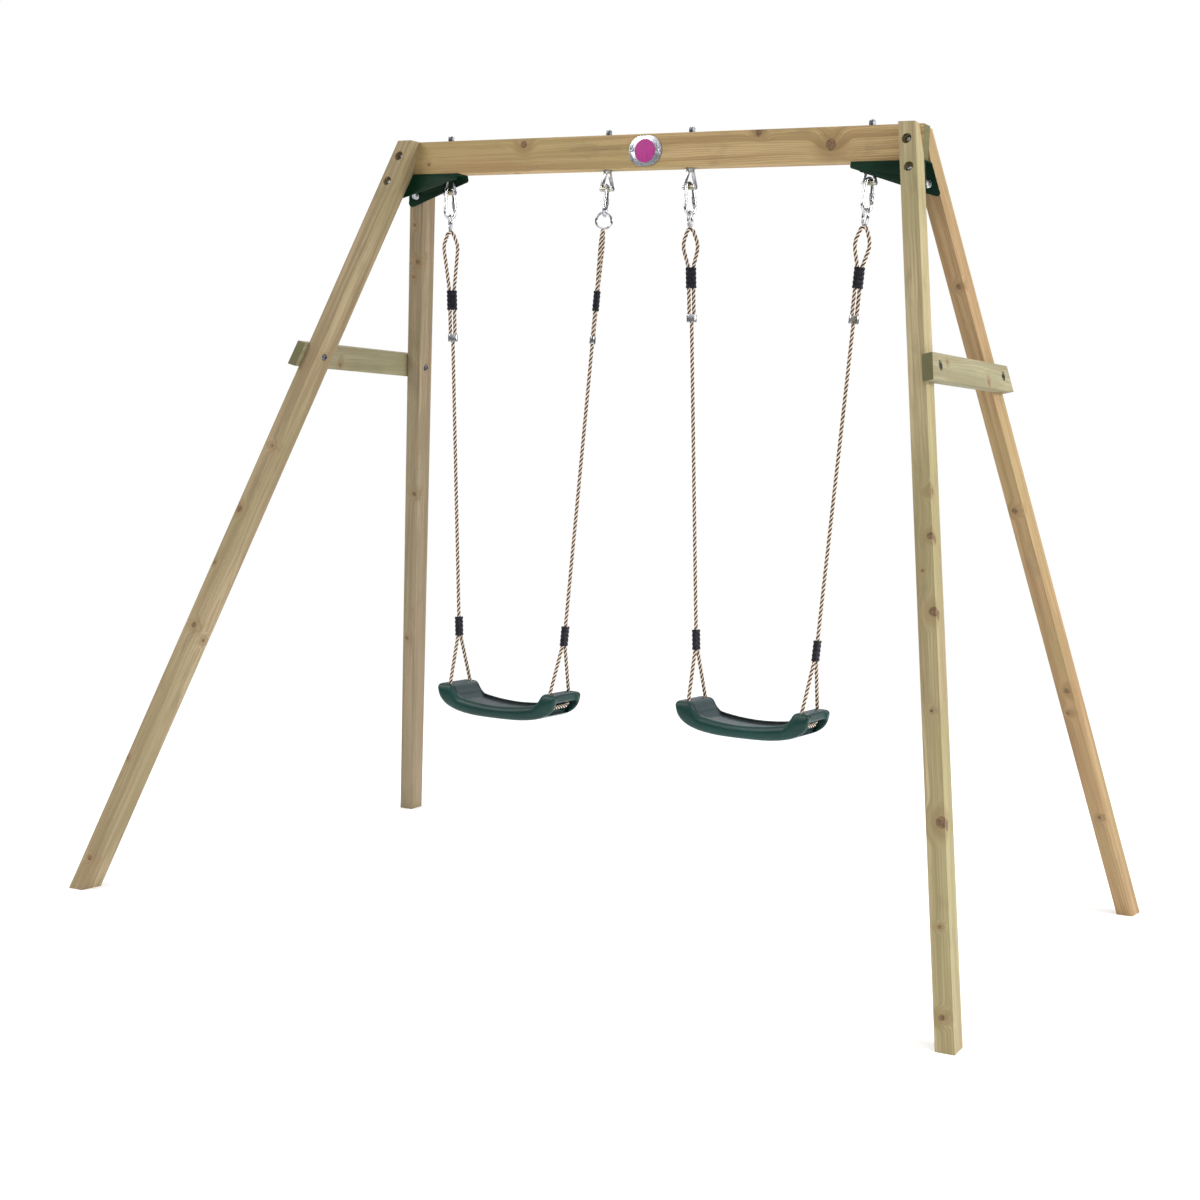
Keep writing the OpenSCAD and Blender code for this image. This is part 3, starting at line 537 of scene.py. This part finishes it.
def grain(piece, board):
    """Stores each vertex's place in the board's own frame, for the timber finish."""
    inward = board.inverted()
    co = np.array([inward @ v.co for v in piece.data.vertices], np.float32)
    piece.data.attributes.new("grain", "FLOAT_VECTOR", "POINT").data.foreach_set("vector", co.ravel())


# %% The seven boards, each from its own log
TAN = ((0.51, 0.420, 0.240), (0.27, 0.207, 0.102), (0.30, 0.272, 0.120))
BROWN = ((0.43, 0.335, 0.195), (0.24, 0.170, 0.088), (0.27, 0.228, 0.110))
WARM = ((0.58, 0.415, 0.205), (0.31, 0.195, 0.082), (0.40, 0.310, 0.130))
RUST = ((0.46, 0.315, 0.160), (0.27, 0.160, 0.072), (0.35, 0.265, 0.120))
GREY = ((0.36, 0.280, 0.175), (0.21, 0.150, 0.088), (0.25, 0.215, 0.120))
SAGE = ((0.38, 0.340, 0.210), (0.23, 0.192, 0.108), (0.23, 0.218, 0.115))
front = (-0.25, -1, 0.25)


def on_front(heights):
    """Knots on the front face of a leg: height above the ground, place across and radius."""
    return [((x, -0.032, z * LEG), front, r) for z, x, r in heights]


boards = {
    "beam": (board_frame((0, 0, BEAM_Z), (1, 0, 0), (0, 0, 1)), (0.012, -0.085), (0.010, 0.012), [
        ((-0.0225, 0.028, -0.385), (-1, 0.1, 0.1), 0.0115), ((-0.0225, 0.0, 0.54), (-1, -0.05, 0.15), 0.0155),
        ((-0.0225, 0.046, 0.335), (-0.6, 1, 0.1), 0.010), ((-0.0225, -0.018, -0.70), (-1, 0, 0.2), 0.005),
        ((0.0225, 0.01, 0.12), (1, 0.1, 0.1), 0.013), ((0.0225, -0.02, -0.42), (1, 0, 0.2), 0.009)], WARM),
    "leg_front_left": (leg_frame(-1, -1), (0.055, 0.02), (0.004, -0.016), on_front([
        (1.213, 0.006, 0.006), (1.031, -0.010, 0.009), (0.88, -0.014, 0.005), (0.713, 0.008, 0.007),
        (0.34, -0.018, 0.005), (0.075, 0.004, 0.006)]) + [
        ((0.022, 0.012, 0.685 * LEG), (1, 0, 0.3), 0.005)], BROWN),
    "leg_front_right": (leg_frame(1, -1), (-0.06, 0.03), (0.012, 0.008), on_front([
        (1.075, 0.018, 0.008), (1.0, -0.006, 0.004), (0.905, 0.016, 0.012), (0.69, 0.002, 0.004),
        (0.453, 0.016, 0.013), (0.24, 0.0, 0.004), (0.06, -0.004, 0.007)]) + [
        ((0.022, -0.020, 1.18 * LEG), (1, 0, 0.3), 0.007)], TAN),
    "leg_rear_left": (leg_frame(-1, 1), (0.05, -0.03), (0.006, 0.012), on_front([
        (1.89, -0.004, 0.005), (1.79, 0.008, 0.008), (1.745, -0.006, 0.006), (1.1, 0.010, 0.007),
        (0.62, -0.008, 0.006)]), GREY),
    "leg_rear_right": (leg_frame(1, 1), (-0.03, -0.06), (-0.010, 0.018), on_front([
        (1.72, 0.006, 0.006), (1.15, -0.004, 0.007), (0.66, 0.008, 0.009), (0.60, -0.006, 0.007),
        (0.30, 0.004, 0.005)]), RUST),
}
for s, side in ((-1, "left"), (1, "right")):
    x = s * (FOOT_X - BRACE_Z * math.tan(BRACE_TILT) + BRACE_OUT)
    boards["brace_" + side] = (board_frame((x, 0, BRACE_Z), (0, 1, 0), (-s * math.tan(BRACE_TILT), 0, 1)),
                               (0.05 * s, -0.03), (0.02, 0.03),
                               [((-0.014, -0.016, 0.11 * s), (-1, -0.3, 0.2), 0.007),
                                ((-0.014, 0.018, -0.19), (-1, 0.2, 0.2), 0.005)], SAGE)

for number, (node, (board, pith, slope, knots, tone)) in enumerate(boards.items()):
    piece = eased(node, BOARD_EASE, 3)
    grain(piece, board)
    axis = board.to_3x3() @ Vector((0, 0, 1))
    piece.data.materials.append(timber("timber_" + node, pith, slope, knots, axis, tone, 3.7 * number))
print(len(boards), "boards planed")

# %% [markdown]
# ## Moulded seats
# Each seat is blow moulded: a hollow shell with soft rounded edges everywhere, a sunk pan between
# two rims, raised ends with rope holes, and a pocket in each end where the rope crosses over.
# The outline is a short formula, so the seat starts as a prism of that outline. A voxel remesh
# gives it an even skin that a Smooth modifier can round, and its sides are drawn in above and below.
# Booleans cut the pan, the pockets and the holes, and a second remesh rounds every cut edge.

# %% The seat's outline
SEAT_LEN, SEAT_W, CURVE, PAN_HALF = 0.394, 0.152, 2.8, 0.059
RIM_X, END_X, RIM_MID, RIM_END, PAN_DEEP = SEAT_LEN / 2 - 0.073, SEAT_LEN / 2 - 0.051, 0.037, 0.050, 0.011
FIRST_VOXEL, LAST_VOXEL, DRAWN_IN = 0.0032, 0.0022, 0.10
POCKET_IN, POCKET_LOW, POCKET_HIGH, POCKET_W = 0.047, 0.022, 0.060, 0.120
BAND_IN, BAND_W, HOLE_R, HOLE_Z, HOLE_DEEP = 0.006, 0.106, 0.0075, 0.062, 0.075


def under(x):
    """Height of the underside, which sweeps up at the ends."""
    return (SEAT_H - 0.006) * (1 - (1 - (abs(x) / (SEAT_LEN / 2)) ** CURVE) ** (1 / CURVE))


def rim(x):
    """Height of the rims, which rise a little towards the ends."""
    return RIM_MID + (RIM_END - RIM_MID) * (x / RIM_X) ** 2


def both_sides(half):
    """A closed outline from its right half."""
    return half + [(-x, z) for x, z in reversed(half[1:-1])]


def prism(name, outline, width):
    """An outline in the X-Z plane, given a width along Y."""
    work = bmesh.new()
    near = [work.verts.new((x, -width / 2, z)) for x, z in outline]
    far = [work.verts.new((x, width / 2, z)) for x, z in outline]
    work.faces.new(near)
    work.faces.new(far[::-1])
    for k in range(len(outline)):
        n = (k + 1) % len(outline)
        work.faces.new((near[k], far[k], far[n], near[n]))
    bmesh.ops.recalc_face_normals(work, faces=work.faces)
    mesh = bpy.data.meshes.new(name)
    work.to_mesh(mesh)
    work.free()
    made = bpy.data.objects.new(name, mesh)
    bpy.context.scene.collection.objects.link(made)
    return made


def softened(made, voxel, rounds):
    """The object with an even skin of small faces, smoothed a number of times."""
    skin = made.modifiers.new("skin", "REMESH")
    skin.mode, skin.voxel_size = "VOXEL", voxel
    soft = made.modifiers.new("soft", "SMOOTH")
    soft.factor, soft.iterations = 0.5, rounds
    return settled(made)


# %% The shell with its bulging sides
def shell_top():
    """The upper half of the outline, from the end to the middle."""
    top = [(SEAT_LEN / 2 - 0.005, SEAT_H - 0.001), (SEAT_LEN / 2 - 0.009, SEAT_H), (END_X + 0.010, SEAT_H)]
    top += [(END_X + 0.002, SEAT_H - 0.006), (RIM_X + 0.014, RIM_END + 0.012)]
    return top + [(x, rim(x)) for x in np.linspace(RIM_X, 0, 12)]


def solid_seat():
    """The seat before anything is cut: its sides are fullest half way up."""
    top = shell_top()
    body = [(x, under(x)) for x in np.linspace(0, SEAT_LEN / 2, 41)] + top
    shell = softened(prism("shell", both_sides(body), SEAT_W), FIRST_VOXEL, 10)
    co = np.empty(len(shell.data.vertices) * 3)
    shell.data.vertices.foreach_get("co", co)
    co = co.reshape(-1, 3)
    x = np.abs(co[:, 0])
    high = np.interp(x, [p[0] for p in reversed(top)], [p[1] for p in reversed(top)])
    low = under(np.minimum(x, SEAT_LEN / 2))
    level = (2 * co[:, 2] - high - low) / np.maximum(high - low, 0.02)
    co[:, 1] *= 1 - DRAWN_IN * np.clip(level, -1, 1) ** 2
    shell.data.vertices.foreach_set("co", co.ravel())
    return shell


# %% Cut the pan, the pockets and the holes
def seat_shell():
    """The finished shell at the origin, with its underside on z = 0."""
    shell = solid_seat()
    pan = [(x, rim(x) - PAN_DEEP) for x in np.linspace(0, RIM_X - 0.004, 12)]
    pan += [(RIM_X + 0.008, RIM_END + 0.0025), (END_X - 0.004, SEAT_H - 0.010)]
    pan += [(END_X + 0.004, SEAT_H + 0.03), (0, SEAT_H + 0.03)]
    cutters = [prism("pan", both_sides(pan), 2 * PAN_HALF)]
    for m in (-1, 1):
        deep, out, face = (m * (SEAT_LEN / 2 + d) for d in (-POCKET_IN, 0.02, -BAND_IN))
        low, high = POCKET_LOW, POCKET_HIGH
        cutters.append(prism("pocket", [(deep, low), (out, low), (out, high), (deep, high)], POCKET_W))
        cutters.append(prism("band", [(face, -0.01), (out, -0.01), (out, 0.1), (face, 0.1)], BAND_W))
        for y in (-HOLE_Y, HOLE_Y):
            ring = [(m * HOLE_GAP / 2 + x, z) for x, z in arc((0, 0), HOLE_R, 0, 345, 24)]
            hole = prism("hole", ring, HOLE_DEEP)
            hole.data.transform(Matrix.Translation((0, y, HOLE_Z)) @ Matrix.Rotation(math.pi / 2, 4, "X"))
            cutters.append(hole)
    for cutter in cutters:
        cut = shell.modifiers.new("cut", "BOOLEAN")
        cut.object, cut.operation, cut.solver = cutter, "DIFFERENCE", "EXACT"
    settled(shell)
    for cutter in cutters:
        bpy.data.objects.remove(cutter)
    softened(shell, LAST_VOXEL, 7)
    shell.data.shade_smooth()
    return shell


# %% The seats' finish
def seat_finish():
    """Green moulded plastic with a fine grain. What faces up, most of all in the pan, is greyed partly as
    dust and partly as painted sheen, and a painted shadow lines the inner edge of the rims.
    """
    f = Finish("moulded_seat")
    at = f.place()
    pores = f.noise(at * 1500, 1, 2, 0.6)
    cloud = f.noise(at, 11, 3)
    streaks = f.noise(at * (9, 60, 60), 1, 2)
    up = f.axis(f.normal(), 2)
    across = f.maths("ABSOLUTE", f.axis(at, 1))
    inner = f.smooth(across, PAN_HALF + 0.001, PAN_HALF - 0.001)
    # Painted shadow: a thin near-black line along the inner edge of the rims, where the rim hides the drop
    # into the pan.
    painted_rim_shadow = f.smooth(across, PAN_HALF - 0.004, PAN_HALF - 0.001)
    painted_rim_shadow = painted_rim_shadow * f.smooth(across, PAN_HALF + 0.0055, PAN_HALF + 0.0035)
    colour = f.mix(f.smooth(cloud, 0.35, 0.7), (0.0018, 0.030, 0.024), (0.004, 0.046, 0.037))
    colour = f.mix(f.smooth(streaks, 0.4, 0.7) * 0.25, colour, (0.008, 0.060, 0.047))
    # Partly dust and partly painted sheen: faces that look up, most of all in the pan, are mixed towards a
    # pale blue-grey.
    dust_and_sheen = f.smooth(up, -0.1, 0.75) * (0.42 + cloud * 0.55) * (0.12 + inner * 0.88)
    colour = f.mix(dust_and_sheen, colour, (0.048, 0.062, 0.076))
    colour = f.mix(painted_rim_shadow * f.smooth(up, -0.1, 0.2) * 0.95, colour, (0.0004, 0.004, 0.0035))
    return f.surface(Base_Color=colour, Roughness=0.24 + pores * 0.12 + dust_and_sheen * 0.34, Specular_IOR_Level=0.30,
                     Normal=f.bump(pores + cloud * 0.4, 0.0004, 0.45))


seat_skin = seat_finish()
first = seat_shell()
first.data.materials.clear()
first.data.materials.append(seat_skin)
for side, chain_name in (("left", "left_outer"), ("right", "right_outer")):
    piece = bpy.data.objects.new("seat_" + side + "_moulded", first.data.copy())
    bpy.context.scene.collection.objects.link(piece)
    low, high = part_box("seat_" + side)
    piece.data.transform(Matrix.Translation(((low.x + high.x) / 2, 0, CHAINS[chain_name]["seat"])))
    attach(piece, "swing_" + side)
    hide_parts("seat_" + side)
    print(piece.name, len(piece.data.polygons), "faces")
bpy.data.objects.remove(first)

# %% [markdown]
# ## Metal and plastic finishes
# Zinc plating is bright but never a mirror: it is mottled, with a faint blue cast. The brace bolts
# and the nuts above the beam get a much darker zinc, which on the brace bolts is painted shade of
# their recesses. The snap hooks and rings are polished, with fine scuffs. The brackets are painted
# dark green, rubbed a little paler here and there. All of them take their detail from noise on
# Object coordinates, which stay fixed to a part when it moves.

# %% Bright and weathered zinc, polished steel and brass
def metal(name, dull, bright, rough, scuff, coarse=60):
    """Plated or polished metal with mottling and fine scuffs."""
    f = Finish(name)
    at = f.place()
    mottle = f.noise(at, coarse, 3, 0.6)
    scuffs = f.noise(at * (900, 260, 900), 1, 2, 0.6)
    colour = f.mix(f.smooth(mottle, 0.32, 0.68), dull, bright)
    worn = rough + mottle * 0.12 + f.smooth(scuffs, 0.5, 0.8) * scuff
    return f.surface(Base_Color=colour, Metallic=1.0, Roughness=worn, Normal=f.bump(scuffs, 0.0002, 0.25))


zinc = metal("bright_zinc", (0.33, 0.34, 0.37), (0.70, 0.71, 0.73), 0.14, 0.16)
polished = metal("polished_steel", (0.36, 0.37, 0.40), (0.80, 0.80, 0.82), 0.03, 0.10, 45)
# Much darker zinc for the brace bolts and the nuts above the beam; on the brace bolts it is painted shade of
# their recesses.
shaded = metal("dark_zinc_painted_shade", (0.045, 0.050, 0.056), (0.16, 0.17, 0.18), 0.32, 0.2)
brass = metal("bush_brass", (0.26, 0.23, 0.15), (0.44, 0.40, 0.28), 0.24, 0.15)


# %% Painted brackets
def paint():
    """Dark green paint with a light orange-peel surface."""
    f = Finish("green_paint")
    at = f.place()
    peel = f.noise(at, 620, 2)
    cloud = f.noise(at, 18, 3)
    colour = f.mix(f.smooth(cloud, 0.35, 0.7), (0.0003, 0.015, 0.006), (0.0006, 0.025, 0.010))
    rubbed = f.smooth(f.noise(at * (40, 40, 340), 1, 3, 0.6), 0.66, 0.80)
    colour = f.mix(rubbed * 0.2, colour, (0.015, 0.07, 0.045))
    return f.surface(Base_Color=colour, Roughness=0.36 + cloud * 0.12, Specular_IOR_Level=0.10,
                     Normal=f.bump(peel, 0.0003, 0.3))


# %% Ribbed black plastic
def black_plastic():
    """Near-black plastic with a faint violet cast and dust on its ribs."""
    f = Finish("adjuster_plastic")
    at = f.place()
    dust = f.noise(at, 130, 3, 0.6)
    colour = f.mix(f.smooth(dust, 0.45, 0.75), (0.006, 0.005, 0.010), (0.022, 0.019, 0.032))
    return f.surface(Base_Color=colour, Roughness=0.36 + dust * 0.2, Specular_IOR_Level=0.25,
                     Normal=f.bump(dust, 0.0004, 0.3))


# %% The badge
def badge_finish():
    """Pressed aluminium with a fine mottle."""
    f = Finish("badge_metal")
    at = f.place()
    grit = f.noise(at, 420, 3, 0.65)
    colour = f.mix(f.smooth(grit, 0.3, 0.7), (0.24, 0.26, 0.30), (0.66, 0.68, 0.72))
    return f.surface(Base_Color=colour, Metallic=0.9, Roughness=0.24 + grit * 0.2,
                     Normal=f.bump(grit, 0.0004, 0.4))


def inlay_finish():
    """Plain magenta enamel, slightly uneven in its gloss."""
    f = Finish("badge_enamel")
    cloud = f.noise(f.place(), 60, 2)
    colour = f.mix(cloud, (0.36, 0.010, 0.19), (0.46, 0.018, 0.25))
    return f.surface(Base_Color=colour, Roughness=0.22 + cloud * 0.15)


# %% Give every other part its finish
green, black, badge = paint(), black_plastic(), badge_finish()
SOFT_EDGES = {"bracket_left": (0.0008, green), "bracket_right": (0.0008, green),
              "frame_nuts": (0.0007, zinc), "hanger_nuts": (0.0007, shaded), "washers": (0.0003, zinc),
              "adjusters_left": (0.0006, black), "adjusters_right": (0.0006, black),
              "seat_clamps_left": (0.0006, black), "seat_clamps_right": (0.0006, black),
              "rope_clips_left": (0.0004, zinc), "rope_clips_right": (0.0004, zinc),
              "badge_plate": (0.0007, badge)}
SOFT_EDGES.update({"hanger_" + c: (0.0008, zinc) for c in CHAINS})
for node, (width, finish) in SOFT_EDGES.items():
    eased(node, width).data.materials.append(finish)

# The brace bolts take the dark zinc as painted shade.
KEPT = {"brace_bolts": shaded, "rings_left": polished, "rings_right": polished, "hanger_bushes": brass,
        "badge_inlay": inlay_finish()}
for prefix in ("hook_", "gate_", "sleeve_"):
    KEPT.update({prefix + c: polished for c in CHAINS})
for node, thing in nodes.items():
    if not thing.hide_render:
        thing.data.materials.clear()
        thing.data.materials.append(KEPT.get(node, zinc))
print("parts kept from CAD:", sum(not t.hide_render for t in nodes.values()))

# %% [markdown]
# ## Floor and light
# A pale floor turns into a plain white glow towards its edge, and the camera sees a white world
# behind it, so there is no horizon and only soft shadows lie at the feet. Bright metal needs
# something darker to reflect, so rays that do not come from the camera meet a world that is
# greyer near the horizon.

# %% Floor
floor_mesh = bpy.data.meshes.new("floor")
FLOOR_R, GLOW_FROM, FLOOR_SIDES = 7.0, 1.8, 64
round_angles = np.linspace(0, 2 * math.pi, FLOOR_SIDES + 1)[:-1]
edge = [(FLOOR_R * math.cos(a), FLOOR_R * math.sin(a), 0) for a in round_angles]
floor_mesh.from_pydata(edge, [], [tuple(range(FLOOR_SIDES))])
floor = bpy.data.objects.new("floor", floor_mesh)
bpy.context.scene.collection.objects.link(floor)
pale = Finish("pale_floor")
lost = pale.smooth(pale.length(pale.place()), GLOW_FROM, FLOOR_R - 0.5)
floor_mesh.materials.append(pale.surface(
    Base_Color=pale.mix(lost, (0.94, 0.95, 0.96), (0.0, 0.0, 0.0)), Roughness=0.85, Specular_IOR_Level=0.0,
    Emission_Color=pale.mix(lost, (0.12, 0.12, 0.12), (1.0, 1.0, 1.0)), Emission_Strength=1.0))
floor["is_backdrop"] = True

# %% World and lamps
world = bpy.data.worlds.new("studio")
world.use_nodes = True
bpy.context.scene.world = world
sky = world.node_tree
background = sky.nodes["Background"]
height = sky.nodes.new("ShaderNodeSeparateXYZ")
sky.links.new(sky.nodes.new("ShaderNodeTexCoord").outputs["Generated"], height.inputs[0])
fade = sky.nodes.new("ShaderNodeMapRange")
fade.interpolation_type = "SMOOTHSTEP"
for key, value in ((1, 0.05), (2, 0.55), (3, 0.16), (4, 1.00)):
    fade.inputs[key].default_value = value
sky.links.new(height.outputs[2], fade.inputs[0])
seen = sky.nodes.new("ShaderNodeMix")
sky.links.new(sky.nodes.new("ShaderNodeLightPath").outputs["Is Camera Ray"], seen.inputs[0])
sky.links.new(fade.outputs[0], seen.inputs[2])
seen.inputs[3].default_value = 1.0
sky.links.new(seen.outputs[0], background.inputs["Strength"])
background.inputs["Color"].default_value = (1, 1, 1, 1)


def lamp(name, at, aim, size, power, tint=(1, 1, 1)):
    """A large square studio lamp."""
    data = bpy.data.lights.new(name, "AREA")
    data.shape, data.size, data.energy, data.color = "SQUARE", size, power, tint
    made = bpy.data.objects.new(name, data)
    made.location = at
    made.rotation_euler = (Vector(aim) - Vector(at)).to_track_quat("-Z", "Y").to_euler()
    bpy.context.scene.collection.objects.link(made)


lamp("key", (-3.4, -4.4, 4.4), (0, 0, 1.0), 2.2, 104, (1, 0.985, 0.96))
lamp("side", (5.4, 0.4, 3.0), (0, 0, 1.2), 2.0, 225, (0.98, 0.99, 1))
lamp("back", (-1.5, 4.8, 4.2), (0, 0, 1.2), 2.4, 50)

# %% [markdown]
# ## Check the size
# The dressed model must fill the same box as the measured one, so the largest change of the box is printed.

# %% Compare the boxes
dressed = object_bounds()
change = max(abs(a - b) for p, q in zip(cad_box, dressed) for a, b in zip(p, q))
print("largest change of the box:", round(change * 1000, 2), "mm")
